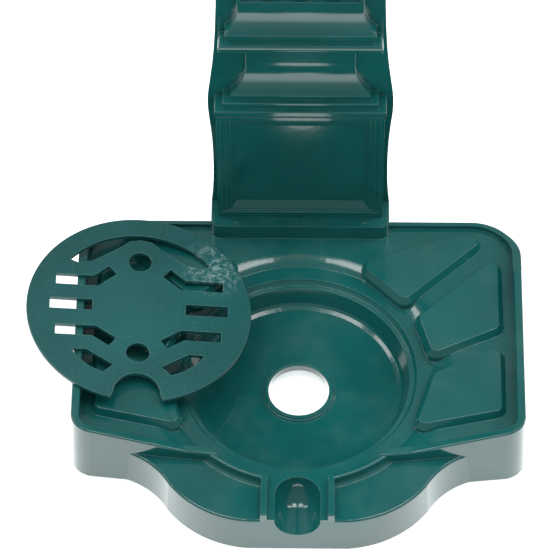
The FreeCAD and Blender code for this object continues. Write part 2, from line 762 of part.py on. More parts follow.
def tap_rosette():
    face = block_face
    ring = rod(29, V(0, face - rosette_thickness, inlet_axis), rosette_thickness, Y)
    ring = ring.makeFillet(3.0, [e for e in ring.Edges if abs(e.BoundBox.YMax - face + rosette_thickness) < 0.01])
    return ring.cut(rod(thread_radius + 0.15, V(0, face - 20, inlet_axis), 40, Y))


def tap_body():
    flange_y = block_face - rosette_thickness
    chamber = rod(chamber_radius, V(0, tap_y, inlet_axis - 11), chamber_top - inlet_axis + 11)
    chamber = chamber.makeFillet(5.0, [e for e in chamber.Edges if level(e.BoundBox, inlet_axis - 11)])
    collar = rod(chamber_radius + 1.5, V(0, tap_y, chamber_top - 5), 5)
    barrel = rod(12.5, V(0, tap_y, inlet_axis), flange_y - tap_y, Y)
    shoulder = rod(15.5, V(0, flange_y - 6, inlet_axis), 6, Y)
    tail = rod(thread_radius, V(0, flange_y - 1, inlet_axis), tail_length + 1, Y)
    arm = rod(11.0, V(0, tap_y, outlet_axis), spout_reach, -Y)
    knee = Part.makeSphere(11.0, V(0, spout_y, outlet_axis))
    drop = rod(11.0, V(0, spout_y, outlet_axis - spout_drop), spout_drop)
    bead = rod(12.6, V(0, spout_y, outlet_axis - spout_drop), 4)
    solid = chamber.fuse([collar, barrel, shoulder, tail, arm, knee, drop, bead])
    lower_room = rod(chamber_bore - 3, V(0, tap_y, inlet_axis - 6), seat_top - 3 - inlet_axis + 6)
    upper_room = rod(chamber_bore, V(0, tap_y, seat_top), 60)
    seat_ring = tube(seat_radius_tap + 2, seat_radius_tap, V(0, tap_y, seat_top - 1), 2.0)
    spaces = [lower_room, upper_room.cut(seat_ring), rod(seat_radius_tap, V(0, tap_y, seat_top - 5), 8),
              rod(bore_radius - 1, V(0, tap_y, inlet_axis), 200, Y),
              rod(bore_radius, V(0, tap_y, outlet_axis), spout_reach, -Y),
              Part.makeSphere(bore_radius, V(0, spout_y, outlet_axis)),
              rod(bore_radius, V(0, spout_y, outlet_axis - 60), 60)]
    for space in spaces:
        solid = solid.cut(space)
    return solid


tail_length = 46.0


def tap_locknut():
    return hexagon(30, V(0, wall_back, inlet_axis), 7, Y, thread_radius + fit)


def tap_headgear():
    z = chamber_top
    skirt_foot = outlet_axis + bore_radius + 0.6
    skirt = rod(chamber_bore - fit, V(0, tap_y, skirt_foot), z - skirt_foot + 1)
    hexed = hexagon(30, V(0, tap_y, z), 9)
    dome = turned([(0, z + 9), (13, z + 9), (10.5, z + headgear_height), (0, z + headgear_height)],
                  V(0, tap_y, 0))
    solid = skirt.fuse([hexed, dome])
    guide = rod(carrier_radius + fit, V(0, tap_y, skirt_foot - 1), carrier_top + valve_travel + 0.8 - skirt_foot + 1)
    return solid.cut([guide, rod(spindle_radius + fit, V(0, tap_y, z - 5), 60)]).removeSplitter()


carrier_foot = seat_top + 1.0 + fit + 3.5      # seat ring, gap, rubber disc
carrier_top = chamber_top + 2.0


def valve_carrier():
    """The non-turning carrier that lifts off the seat as the spindle turns."""
    solid = rod(carrier_radius, V(0, tap_y, carrier_foot), carrier_top - carrier_foot)
    return solid.cut(rod(spindle_radius + fit, V(0, tap_y, carrier_foot + 3), 60))


def valve_disc():
    """Rubber disc under the carrier."""
    return rod(8.3, V(0, tap_y, carrier_foot - 3.5), 3.5)


gland_height = 8.0
handle_foot = chamber_top + headgear_height + gland_height + 3.0
handle_height = 16.0


def tap_gland_nut():
    z = chamber_top + headgear_height
    return hexagon(17, V(0, tap_y, z), gland_height, Z, spindle_radius + fit)


def tap_spindle():
    foot = carrier_foot + 3 + valve_travel + 0.6
    shaft = rod(spindle_radius, V(0, tap_y, foot), handle_foot - foot)
    square = box(-3.1, 3.1, tap_y - 3.1, tap_y + 3.1, handle_foot - 1, handle_foot + handle_height - 3)
    solid = shaft.fuse(square)
    return solid.cut(rod(2.0, V(0, tap_y, handle_foot + 4), 30)).removeSplitter()


def tap_handle():
    """Cross handle: a hub and four arms with ball ends."""
    z = handle_foot
    hub = turned([(0, z), (9, z), (11, z + 3), (11, z + 11), (8.5, z + handle_height), (0, z + handle_height)],
                 V(0, tap_y, 0))
    reach, arms = 30.0, []
    for i in range(4):
        angle = math.radians(45 + 90 * i)
        way = V(math.cos(angle), math.sin(angle), 0)
        start = V(0, tap_y, z + 7)
        arms.append(Part.makeCone(4.8, 3.6, reach, start, way))
        arms.append(Part.makeSphere(6.0, start + way * reach))
    solid = hub.fuse(arms)
    square = box(-3.2, 3.2, tap_y - 3.2, tap_y + 3.2, z - 1, z + handle_height - 2.8)
    seat = rod(4.4, V(0, tap_y, z + handle_height - 1.8), 5)
    hole = rod(2.2, V(0, tap_y, z), 40)
    return solid.cut([square, seat, hole]).removeSplitter()


def handle_screw():
    z = handle_foot + handle_height - 1.8
    head = turned([(0, z), (4.2, z), (4.2, z + 1.6), (3.2, z + 2.6), (0, z + 2.6)], V(0, tap_y, 0))
    head = head.cut(box(-5, 5, tap_y - 0.5, tap_y + 0.5, z + 1.5, z + 5))
    return head.fuse(rod(1.95, V(0, tap_y, z - 8), 8)).removeSplitter()


def spout_nozzle():
    """Knurled nozzle ring at the end of the spout."""
    foot = outlet_axis - spout_drop
    ring = turned([(bore_radius - 1, foot - 12), (9.5, foot - 12), (10.6, foot - 10.5), (10.6, foot - 2),
                   (12.0, foot - 1), (12.0, foot), (bore_radius - 1, foot)], V(0, spout_y, 0))
    grooves = []
    for i in range(24):
        angle = math.radians(15 * i)
        grooves.append(rod(0.7, V(10.8 * math.cos(angle), spout_y + 10.8 * math.sin(angle), foot - 9.5), 7))
    return ring.cut(grooves)


# ---------------------------------------------------------------- water line inside
elbow_front = wall_back + 7 + 1.0
tail_end = block_face - rosette_thickness + tail_length
elbow_drop = 28.0
nut_length = 12.0
pipe_top = inlet_axis - elbow_drop + 14
clip_back = pipe_radius + 1.8        # origin to the back of a clip strap
coupling_top = inlet_height + 34.0


def supply_elbow():
    centre = V(0, 0, inlet_axis)
    arm = rod(14.5, V(0, elbow_front, inlet_axis), -elbow_front, Y)
    knee = Part.makeSphere(14.5, centre)
    leg = rod(12.0, V(0, 0, inlet_axis - elbow_drop), elbow_drop)
    solid = arm.fuse([knee, leg])
    tail_room = rod(thread_radius + fit, V(0, elbow_front - 1, inlet_axis), tail_end + 0.5 - elbow_front + 1, Y)
    return solid.cut([tail_room, rod(bore_radius - 0.5, V(0, elbow_front, inlet_axis), -elbow_front, Y),
                      Part.makeSphere(bore_radius - 0.5, centre),
                      rod(bore_radius - 0.5, V(0, 0, inlet_axis - 60), 60),
                      rod(pipe_radius + fit, V(0, 0, inlet_axis - 60), 60 - elbow_drop + 14.5)]).removeSplitter()


def riser_pipe():
    foot = coupling_top - 14
    return tube(pipe_radius, pipe_radius - pipe_wall, V(0, 0, foot), pipe_top - foot)


def compression_nuts():
    """Nuts on the two ends of the riser."""
    top = hexagon(24, V(0, 0, inlet_axis - elbow_drop - nut_length - olive_gap), nut_length, Z, pipe_radius + fit)
    bottom = hexagon(24, V(0, 0, coupling_top + olive_gap), nut_length, Z, pipe_radius + fit)
    return group([top, bottom])


olive_gap = 5.0


def compression_olives():
    """Brass rings squeezed between each nut and its fitting."""
    rings = []
    for z in (inlet_axis - elbow_drop - olive_gap, coupling_top):
        rings.append(turned([(pipe_radius + fit, z), (9.4, z), (10.2, z + olive_gap / 2), (9.4, z + olive_gap),
                             (pipe_radius + fit, z + olive_gap)]))
    return group(rings)


def inlet_coupling():
    """Straight fitting at the foot: half-inch male thread below, riser socket above."""
    z = inlet_height
    solid = rod(thread_radius, V(0, 0, z), 15).fuse([
        hexagon(26, V(0, 0, z + 15), 8), rod(11.5, V(0, 0, z + 22), 12)])
    return solid.cut([rod(bore_radius - 0.5, V(0, 0, z - 1), 60),
                      rod(pipe_radius + fit, V(0, 0, coupling_top - 14), 60)]).removeSplitter()


def pipe_clips():
    """P-shaped saddle clips that hold the riser to bosses in the casting."""
    clips = []
    for z in clip_heights:
        ring = tube(pipe_radius + 1.8, pipe_radius + 0.1, V(0, 0, z - 6), 12)
        foot = box(6.0, 28.0, -clip_back, -clip_back + 1.8, z - 6, z + 6)
        bridge = box(0.0, 7.0, -clip_back, -clip_back + 1.8, z - 6, z + 6)
        clip = ring.fuse([foot, bridge]).cut(rod(pipe_radius + 0.1, V(0, 0, z - 7), 14))
        clips.append(clip.cut(rod(2.2, V(20, -30, z), 60, Y)).removeSplitter())
    return group(clips)


def clip_screws():
    screws = []
    for z in clip_heights:
        seat = -clip_back + 1.8
        head = rod(4.0, V(20, seat, z), 2.6, Y).cut(hexagon(2.6, V(20, seat + 1.0, z), 4, Y))
        screws.append(head.fuse(rod(2.0, V(20, seat - 10, z), 10, Y)).removeSplitter())
    return group(screws)


# ---------------------------------------------------------------- drain grate
def slot(points, width):
    """A slot of constant width round a bent centre line, with square ends."""
    parts = []
    half = width / 2
    for a, b in zip(points, points[1:]):
        start, end = V(a[0], a[1], -1), V(b[0], b[1], -1)
        along = end - start
        across = V(-along.y, along.x, 0)
        across.normalize()
        parts.append(prism([start + across * half, end + across * half, end - across * half,
                            start - across * half], V(0, 0, grate_thickness + 2)))
    for p in points[1:-1]:
        parts.append(rod(half, V(p[0], p[1], -1), grate_thickness + 2))
    return merged(parts)


def lens(corners):
    return prism([V(x, y, -1) for x, y in corners], V(0, 0, grate_thickness + 2))


def drain_grate():
    through = grate_thickness + 2
    plate = rod(grate_radius, V(0, 0, 0), grate_thickness)
    plate = plate.makeFillet(0.8, plate.Edges[:1] + plate.Edges[-1:])
    cuts = []
    # finger holes on the centre line
    for y in (55.0, -50.6):
        cuts.append(rod(11.0, V(0, y, -1), through))
    # crescent at the back, waisted round the finger hole
    inner = [V(67.0, 54.4, -1), V(58.5, 50.5, -1), V(45.0, 53.5, -1), V(19.5, 70.8, -1),
             V(10.5, 79.0, -1), V(0, 81.0, -1)]
    inner += [V(-p.x, p.y, -1) for p in inner[-2::-1]]
    back = Part.Arc(inner[-1], V(0, 86.3, -1), inner[0]).toShape()
    crescent = Part.Face(Part.Wire(Part.makePolygon(inner).Edges + [back]))
    cuts.append(crescent.extrude(V(0, 0, through)))
    for side in (1, -1):
        cuts.append(slot([(side * 44, 2), (side * 84, 2)], 12.5))
        cuts.append(slot([(side * 25.4, 44), (side * 41.5, 30.2), (side * 79, 30.4)], 11.8))
        cuts.append(slot([(side * 23.9, -39.8), (side * 41.5, -28), (side * 78, -28.2)], 11.6))
        cuts.append(lens([(side * x, y) for x, y in
                          ((22.6, -65.6), (48, -49.7), (62.5, -50.2), (56, -60), (43, -70), (31.8, -74.8))]))
    # notch over the overflow scoop, flared at the rim
    notch = scoop_radius + 1.0
    centre = 9.5 - grate_radius
    cuts.append(rod(notch, V(0, centre, -1), through))
    cuts.append(prism([V(-notch, centre, -1), V(notch, centre, -1), V(notch + 7, centre - 15, -1),
                       V(-notch - 7, centre - 15, -1)], V(0, 0, through)))
    plate = plate.cut(cuts)
    turn = FreeCAD.Rotation(Y, grate_tilt) * FreeCAD.Rotation(Z, grate_turn)
    plate.Placement = FreeCAD.Placement(V(grate_x, bowl_y + grate_y, grate_rest_height()), turn)
    return plate


def grate_rest_height():
    """Height of the grate's underside at its centre, as it lies on the side rim."""
    inwards = half_width - rim_width + rim_round - abs(grate_x)
    return rim_height + grate_rest_gap - math.tan(math.radians(grate_tilt)) * inwards


# ---------------------------------------------------------------- writing the pieces
nodes = {
    "basin_base": basin_base, "drain_grate": drain_grate, "column_front": column_front,
    "rear_cover": rear_cover, "rear_cover_screws": cover_screws, "foot_bolts": foot_bolts,
    "foot_washers": foot_washers, "foot_nuts": foot_nuts, "column_cap": column_cap,
    "cap_screws": cap_screws, "finial": finial, "finial_stud": finial_stud, "finial_nut": finial_nut,
    "tap_rosette": tap_rosette, "tap_body": tap_body, "tap_locknut": tap_locknut,
    "tap_headgear": tap_headgear, "tap_gland_nut": tap_gland_nut, "tap_spindle": tap_spindle,
    "valve_carrier": valve_carrier, "valve_disc": valve_disc, "tap_handle": tap_handle,
    "handle_screw": handle_screw, "spout_nozzle": spout_nozzle, "supply_elbow": supply_elbow,
    "riser_pipe": riser_pipe, "compression_nuts": compression_nuts,
    "compression_olives": compression_olives, "inlet_coupling": inlet_coupling,
    "pipe_clips": pipe_clips, "pipe_clip_screws": clip_screws,
}

os.makedirs("parts", exist_ok=True)
for name, make in nodes.items():
    shape = make()
    print(name, len(shape.Solids), "valid" if shape.isValid() else "INVALID", round(shape.Volume))
    shape.exportStep("parts/" + name + ".step")
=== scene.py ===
"""Looks for a cast pillar drinking fountain, laid out as a Blender add-on and run as a script."""
import json
import math

import bmesh
import bpy
from bpy.props import FloatProperty, FloatVectorProperty, PointerProperty
from mathutils import Matrix, Vector


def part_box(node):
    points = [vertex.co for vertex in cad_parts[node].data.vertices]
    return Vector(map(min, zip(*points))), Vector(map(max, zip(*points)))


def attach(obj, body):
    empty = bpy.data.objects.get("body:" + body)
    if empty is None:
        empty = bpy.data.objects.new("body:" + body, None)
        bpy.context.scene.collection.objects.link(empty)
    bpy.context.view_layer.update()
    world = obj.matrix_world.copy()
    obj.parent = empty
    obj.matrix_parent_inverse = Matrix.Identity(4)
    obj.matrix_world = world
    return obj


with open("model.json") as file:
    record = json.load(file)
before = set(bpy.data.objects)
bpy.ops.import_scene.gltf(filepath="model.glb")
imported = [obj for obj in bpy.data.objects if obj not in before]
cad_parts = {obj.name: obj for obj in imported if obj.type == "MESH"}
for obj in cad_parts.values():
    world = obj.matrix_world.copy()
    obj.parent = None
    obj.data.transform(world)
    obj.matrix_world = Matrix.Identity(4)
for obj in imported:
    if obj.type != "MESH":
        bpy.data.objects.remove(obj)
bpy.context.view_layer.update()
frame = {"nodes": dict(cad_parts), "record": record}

bl_info = {
    "name": "Drinking Fountain Looks",
    "version": (1, 0, 0),
    "blender": (4, 5, 0),
    "location": "3D View > Sidebar > Fountain",
    "description": "Finishes, small fittings and stage for a cast pillar drinking fountain",
    "category": "Object",
}

SLOT_NODES = {}
for row in frame["record"]["subparts"]:
    SLOT_NODES.setdefault(row["material_slot"], []).append(row["node"])


# ---------------------------------------------------------------- settings
def colour(name, text, default):
    return FloatVectorProperty(name=name, description=text, subtype="COLOR", size=3,
                               min=0.0, max=1.0, default=default)


def length(name, text, default):
    return FloatProperty(name=name, description=text, default=default, min=0.0,
                         subtype="DISTANCE", unit="LENGTH")


def amount(name, text, default):
    return FloatProperty(name=name, description=text, default=default, min=0.0,
                         soft_max=1.0, subtype="FACTOR")


def strength(name, text, default, unit="NONE"):
    return FloatProperty(name=name, description=text, default=default, min=0.0, unit=unit)


def angle(name, text, degrees):
    return FloatProperty(name=name, description=text, default=math.radians(degrees),
                         subtype="ANGLE", unit="ROTATION")


class FountainFinishes(bpy.types.PropertyGroup):
    enamel: colour("Enamel", "Stoved enamel on the castings", (0.004, 0.080, 0.076))
    # Edge colour: partly enamel pulled thin, partly a painted highlight on the edges
    enamel_thin_edge_and_highlight: colour("Enamel edges", "Enamel where it pulls thin on an edge",
                        (0.055, 0.200, 0.195))
    grate: colour("Grate coat", "Satin coat on the loose grate", (0.005, 0.076, 0.075))
    grate_fleck: colour("Grate fleck", "Pale flecks in the grate coat", (0.12, 0.24, 0.24))
    brass: colour("Tap brass", "Polished brass of the tap", (0.78, 0.55, 0.24))
    fitting: colour("Fitting brass", "Turned brass of the pipe fittings", (0.62, 0.45, 0.22))
    copper: colour("Copper", "Drawn copper of the riser pipe", (0.80, 0.40, 0.25))
    steel: colour("Steel", "Stainless steel of the fasteners", (0.60, 0.61, 0.62))
    rubber: colour("Rubber", "Moulded rubber of the valve disc", (0.022, 0.022, 0.023))
    edge_radius: length("Edge radius", "Softness of the castings' edges", 0.0011)
    peel: length("Orange peel", "Height of the ripple in the enamel", 0.00006)
    # How strongly the edges are painted lighter: partly wear, partly a painted highlight
    edge_wear_and_highlight: amount("Edge wear", "How much the edges show lighter", 0.55)


class FountainStage(bpy.types.PropertyGroup):
    floor: colour("Floor", "Pale floor", (0.93, 0.93, 0.93))
    floor_glow: strength("Floor glow", "How bright the floor is when mirrored", 2.1)
    floor_spread: strength("Floor light", "Soft light that the floor throws up", 0.25)
    air: strength("Air", "Strength of the even light all round", 0.95)
    air_mirrored: strength("Mirrored air", "How bright the air is when mirrored", 0.30)
    top_power: strength("Top lights", "Power of each overhead soft box", 14.0, "POWER")
    side_power: strength("Side lights", "Power of each side strip", 9.0, "POWER")
    lens: FloatProperty(name="Lens", description="Focal length", default=271.17,
                        min=1.0, unit="CAMERA", subtype="DISTANCE_CAMERA")
    distance: length("Camera distance", "From the camera to the point it looks at", 4.005)
    azimuth: angle("Azimuth", "Camera turned to the right", 0.98)
    elevation: angle("Elevation", "Camera above the horizon", 52.97)
    roll: angle("Roll", "Camera rolled about its own axis", -0.39)


def finishes():
    return bpy.context.scene.fountain_finishes


# ---------------------------------------------------------------- shader tools
def group_tree(name, inputs, outputs):
    """A shader node group with named sockets: (tree, its input node, its output node)."""
    tree = bpy.data.node_groups.new(name, "ShaderNodeTree")
    kinds = {"value": "NodeSocketFloat", "vector": "NodeSocketVector", "colour": "NodeSocketColor"}
    for label, kind, default in inputs:
        socket = tree.interface.new_socket(label, in_out="INPUT", socket_type=kinds[kind])
        if default is not None:
            socket.default_value = default
    for label, kind in outputs:
        tree.interface.new_socket(label, in_out="OUTPUT", socket_type=kinds[kind])
    return tree, tree.nodes.new("NodeGroupInput"), tree.nodes.new("NodeGroupOutput")


def add(tree, kind, links=None, **settings):
    """A node of that kind. links maps its input sockets to sockets or plain values."""
    node = tree.nodes.new("ShaderNode" + kind)
    for key, value in settings.items():
        setattr(node, key, value)
    for key, source in (links or {}).items():
        if isinstance(source, bpy.types.NodeSocket):
            tree.links.new(source, node.inputs[key])
        else:
            node.inputs[key].default_value = source
    return node


def maths(tree, operation, *values, clamp=False):
    node = add(tree, "Math", dict(enumerate(values)), operation=operation, use_clamp=clamp)
    return node.outputs[0]


def ramp(tree, value, low, high, to_low=0.0, to_high=1.0):
    node = add(tree, "MapRange", {"Value": value, "From Min": low, "From Max": high,
                                  "To Min": to_low, "To Max": to_high},
               interpolation_type="SMOOTHSTEP")
    return node.outputs["Result"]


def blend_colour(tree, factor, first, second):
    node = add(tree, "Mix", data_type="RGBA")
    for key, source in ((0, factor), (6, first), (7, second)):
        if isinstance(source, bpy.types.NodeSocket):
            tree.links.new(source, node.inputs[key])
        else:
            node.inputs[key].default_value = source
    return node.outputs[2]


def noise(tree, place, scale, detail=2.0, roughness=0.5):
    return add(tree, "TexNoise", {"Vector": place, "Scale": scale, "Detail": detail,
                                  "Roughness": roughness}).outputs["Fac"]


def edge_group():
    """Softened edges: the normal that runs round each edge, and a mask of the edges, which the
    finishes use to paint the edges lighter, partly as thin coat and wear and partly as a painted
    highlight.
    """
    tree, into, out = group_tree(
        "Soft edges", [("Radius", "value", 0.001), ("Patchiness", "value", 0.5)],
        [("Normal", "vector"), ("Edge", "value")])
    soft = add(tree, "Bevel", {"Radius": into.outputs["Radius"]}, samples=6)
    flat = add(tree, "NewGeometry").outputs["Normal"]
    dot = add(tree, "VectorMath", {0: soft.outputs[0], 1: flat}, operation="DOT_PRODUCT")
    turned = ramp(tree, maths(tree, "SUBTRACT", 1.0, dot.outputs["Value"]), 0.01, 0.16)
    place = add(tree, "TexCoord").outputs["Object"]
    patches = ramp(tree, noise(tree, place, 60.0, 4.0, 0.65), 0.35, 0.62)
    # Noise breaks up the edge mask; the mask paints edges lighter, partly as wear and partly as a
    # painted highlight
    wear_and_highlight_share = maths(tree, "SUBTRACT", 1.0, maths(
        tree, "MULTIPLY", into.outputs["Patchiness"], maths(tree, "SUBTRACT", 1.0, patches)))
    tree.links.new(soft.outputs[0], out.inputs["Normal"])
    tree.links.new(maths(tree, "MULTIPLY", turned, wear_and_highlight_share), out.inputs["Edge"])
    return tree


def skin_group():
    """The surface of a coated casting: ripple height, slow tone drift and fine grain."""
    tree, into, out = group_tree(
        "Cast skin", [("Ripple scale", "value", 220.0), ("Grit scale", "value", 900.0),
                      ("Grit", "value", 0.25)],
        [("Height", "value"), ("Tone", "value"), ("Grain", "value")])
    place = add(tree, "TexCoord").outputs["Object"]
    ripple = noise(tree, place, into.outputs["Ripple scale"], 2.0, 0.4)
    wave = noise(tree, place, 28.0, 1.0, 0.3)
    grit = noise(tree, place, into.outputs["Grit scale"], 3.0, 0.6)
    height = maths(tree, "ADD", maths(tree, "ADD", ripple, maths(tree, "MULTIPLY", wave, 1.6)),
                   maths(tree, "MULTIPLY", grit, into.outputs["Grit"]))
    tree.links.new(height, out.inputs["Height"])
    tree.links.new(ramp(tree, noise(tree, place, 9.0, 3.0, 0.55), 0.3, 0.7), out.inputs["Tone"])
    tree.links.new(grit, out.inputs["Grain"])
    return tree


def fleck_group():
    """Small bright flecks scattered through a coat."""
    tree, into, out = group_tree(
        "Flecks", [("Scale", "value", 700.0), ("Size", "value", 0.25), ("Share", "value", 0.3)],
        [("Mask", "value")])
    place = add(tree, "TexCoord").outputs["Object"]
    cells = add(tree, "TexVoronoi", {"Vector": place, "Scale": into.outputs["Scale"]},
                feature="F1")
    pick = add(tree, "SeparateColor", {0: cells.outputs["Color"]}).outputs[0]
    near = maths(tree, "LESS_THAN", cells.outputs["Distance"],
                 maths(tree, "MULTIPLY", into.outputs["Size"], pick))
    chosen = maths(tree, "LESS_THAN", add(tree, "SeparateColor", {
        0: cells.outputs["Color"]}).outputs[1], into.outputs["Share"])
    tree.links.new(maths(tree, "MULTIPLY", near, chosen), out.inputs["Mask"])
    return tree


def film_group():
    """A thin pale film that settles on faces that look up."""
    tree, into, out = group_tree(
        "Settled film", [("Scale", "value", 16.0), ("Amount", "value", 0.4)],
        [("Mask", "value")])
    upward = add(tree, "SeparateXYZ", {0: add(tree, "NewGeometry").outputs["Normal"]}).outputs[2]
    place = add(tree, "TexCoord").outputs["Object"]
    cloud = ramp(tree, noise(tree, place, into.outputs["Scale"], 6.0, 0.6), 0.42, 0.75)
    mask = maths(tree, "MULTIPLY", ramp(tree, upward, 0.55, 0.95), cloud)
    tree.links.new(maths(tree, "MULTIPLY", mask, into.outputs["Amount"]), out.inputs["Mask"])
    return tree


def metal_group():
    """Turned or drawn metal: fine tool marks, handling tone and tarnish."""
    tree, into, out = group_tree(
        "Worked metal", [("Stretch", "vector", (1.0, 1.0, 14.0)), ("Scale", "value", 240.0),
                         ("Tarnish scale", "value", 45.0)],
        [("Marks", "value"), ("Tarnish", "value")])
    place = add(tree, "TexCoord").outputs["Object"]
    drawn = add(tree, "VectorMath", {0: place, 1: into.outputs["Stretch"]}, operation="MULTIPLY")
    marks = noise(tree, drawn.outputs[0], into.outputs["Scale"], 3.0, 0.6)
    tree.links.new(marks, out.inputs["Marks"])
    tree.links.new(ramp(tree, noise(tree, place, into.outputs["Tarnish scale"], 5.0, 0.6),
                        0.45, 0.72), out.inputs["Tarnish"])
    return tree


EFFECTS = {"Soft edges": edge_group, "Cast skin": skin_group, "Flecks": fleck_group,
           "Settled film": film_group, "Worked metal": metal_group}


def effect(tree, name, **values):
    """The named effect's group in this material, with its own values."""
    node = tree.nodes.new("ShaderNodeGroup")
    node.node_tree = bpy.data.node_groups.get(name) or EFFECTS[name]()
    for key, value in values.items():
        node.inputs[key.replace("_", " ")].default_value = value
    return node.outputs


def new_material(name, **fixed):
    """An empty material: (material, tree, its Principled shader). fixed sets shader sockets."""
    material = bpy.data.materials.new(name)
    material.use_nodes = True
    tree = material.node_tree
    shader = tree.nodes["Principled BSDF"]
    for key, value in fixed.items():
        shader.inputs[key.replace("_", " ")].default_value = value
    return material, tree, shader


def rgba(colour_value):
    return (*colour_value, 1.0)


def shade(colour_value, factor):
    return (*(min(1.0, c * factor) for c in colour_value), 1.0)


def surface(tree, shader, body, rough, height, depth, relief, normal):
    """Joins colour, roughness and a bump of that depth (metres) to the shader."""
    bump = add(tree, "Bump", {"Height": height, "Distance": depth, "Strength": relief,
                              "Normal": normal})
    tree.links.new(body, shader.inputs["Base Color"])
    tree.links.new(rough, shader.inputs["Roughness"])
    tree.links.new(bump.outputs[0], shader.inputs["Normal"])


# ---------------------------------------------------------------- finishes
FILM_TONE = (0.30, 0.38, 0.38, 1.0)
RUB_TONE = (0.42, 0.55, 0.56, 1.0)
RUB_PLACE = (0.036, 0.052, 0.020)    # in from the grate's right, behind its middle, below its top
RUB_REACH, RUB_CORE = 0.040, 0.006   # radii where the rubbing ends and where it is full


def stoved_enamel():
    """Deep glossy teal over a casting, pale on the edges: partly thin enamel, partly a painted
    highlight.
    """
    f = finishes()
    material, tree, shader = new_material(
        "stoved_enamel", IOR=1.52, Coat_Weight=0.35, Coat_Roughness=0.04)
    edges = effect(tree, "Soft edges", Radius=f.edge_radius, Patchiness=0.35)
    skin = effect(tree, "Cast skin", Ripple_scale=190.0, Grit_scale=1300.0, Grit=0.12)
    film = effect(tree, "Settled film", Scale=22.0, Amount=0.05)
    body = blend_colour(tree, skin["Tone"], shade(f.enamel, 0.86), shade(f.enamel, 1.16))
    # Lighter edges: partly thin enamel, partly a painted highlight
    body = blend_colour(tree, maths(tree, "MULTIPLY", edges["Edge"], f.edge_wear_and_highlight),
                        body, rgba(f.enamel_thin_edge_and_highlight))
    body = blend_colour(tree, film["Mask"], body, FILM_TONE)
    rough = maths(tree, "ADD", ramp(tree, skin["Grain"], 0.3, 0.7, 0.08, 0.17),
                  maths(tree, "MULTIPLY", film["Mask"], 0.5))
    surface(tree, shader, body, rough, skin["Height"], f.peel, 0.9, edges["Normal"])
    return material


def satin_coat():
    """Flecked satin coat of the grate, with a pale rubbed patch."""
    f = finishes()
    material, tree, shader = new_material("satin_coat", IOR=1.48)
    edges = effect(tree, "Soft edges", Radius=0.0007, Patchiness=0.3)
    skin = effect(tree, "Cast skin", Ripple_scale=420.0, Grit_scale=1600.0, Grit=0.5)
    flecks = effect(tree, "Flecks", Scale=760.0, Size=0.5, Share=0.22)
    body = blend_colour(tree, skin["Tone"], shade(f.grate, 0.88), shade(f.grate, 1.15))
    body = blend_colour(tree, maths(tree, "MULTIPLY", flecks["Mask"], 0.25),
                        body, rgba(f.grate_fleck))
    # Lighter edges on the grate: partly wear, partly a painted highlight
    body = blend_colour(tree, maths(tree, "MULTIPLY", edges["Edge"], 0.8),
                        body, shade(f.grate_fleck, 1.6))
    low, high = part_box("drain_grate")
    from_right, behind_middle, below_top = RUB_PLACE
    rub_at = (high[0] - from_right, (low[1] + high[1]) / 2 + behind_middle, high[2] - below_top)
    place = add(tree, "TexCoord").outputs["Object"]
    away = add(tree, "VectorMath", {0: place, 1: rub_at}, operation="DISTANCE").outputs["Value"]
    cloud = noise(tree, place, 210.0, 7.0, 0.75)
    rubbed = maths(tree, "MULTIPLY", ramp(tree, away, RUB_REACH, RUB_CORE),
                   ramp(tree, cloud, 0.44, 0.68))
    body = blend_colour(tree, maths(tree, "MULTIPLY", rubbed, 0.55), body, RUB_TONE)
    rough = ramp(tree, skin["Grain"], 0.3, 0.7, 0.26, 0.42)
    surface(tree, shader, body, rough, skin["Height"], 0.00012, 0.8, edges["Normal"])
    return material


def worked_metal(name, tone, tarnished, smooth, dull, stretch, scale, mark_depth, edge=0.0005):
    """A bare metal with tool marks, edges painted brighter (partly wear, partly a painted
    highlight) and patches of tarnish.
    """
    material, tree, shader = new_material(name, Metallic=1.0)
    edges = effect(tree, "Soft edges", Radius=edge, Patchiness=0.2)
    metal = effect(tree, "Worked metal", Stretch=stretch, Scale=scale)
    body = blend_colour(tree, metal["Tarnish"], rgba(tone), tarnished)
    # Brighter edges: partly wear, partly a painted highlight
    body = blend_colour(tree, maths(tree, "MULTIPLY", edges["Edge"], 0.6), body,
                        shade(tone, 1.25))
    rough = maths(tree, "ADD", ramp(tree, metal["Marks"], 0.3, 0.7, smooth, dull),
                  maths(tree, "MULTIPLY", metal["Tarnish"], 0.12))
    surface(tree, shader, body, rough, metal["Marks"], mark_depth, 0.6, edges["Normal"])
    return material


def moulded_rubber():
    """Matt black rubber with a fine moulded grain and a little bloom."""
    f = finishes()
    material, tree, shader = new_material("moulded_rubber", IOR=1.5)
    skin = effect(tree, "Cast skin", Ripple_scale=700.0, Grit_scale=2600.0, Grit=0.8)
    edges = effect(tree, "Soft edges", Radius=0.0003, Patchiness=0.2)
    bloom = blend_colour(tree, skin["Tone"], rgba(f.rubber), shade(f.rubber, 2.0))
    # Lighter edges on the rubber: partly wear, partly a painted highlight
    body = blend_colour(tree, maths(tree, "MULTIPLY", edges["Edge"], 0.5), bloom,
                        shade(f.rubber, 3.0))
    rough = ramp(tree, skin["Grain"], 0.3, 0.7, 0.5, 0.72)
    surface(tree, shader, body, rough, skin["Height"], 0.00005, 0.7, edges["Normal"])
    return material


def coat_nodes(slot, material):
    """Gives that material to every node of the record's slot."""
    if slot not in SLOT_NODES:
        raise RuntimeError("no node has the slot " + slot)
    for name in SLOT_NODES[slot]:
        slots = frame["nodes"][name].data.materials
        slots.clear()
        slots.append(material)


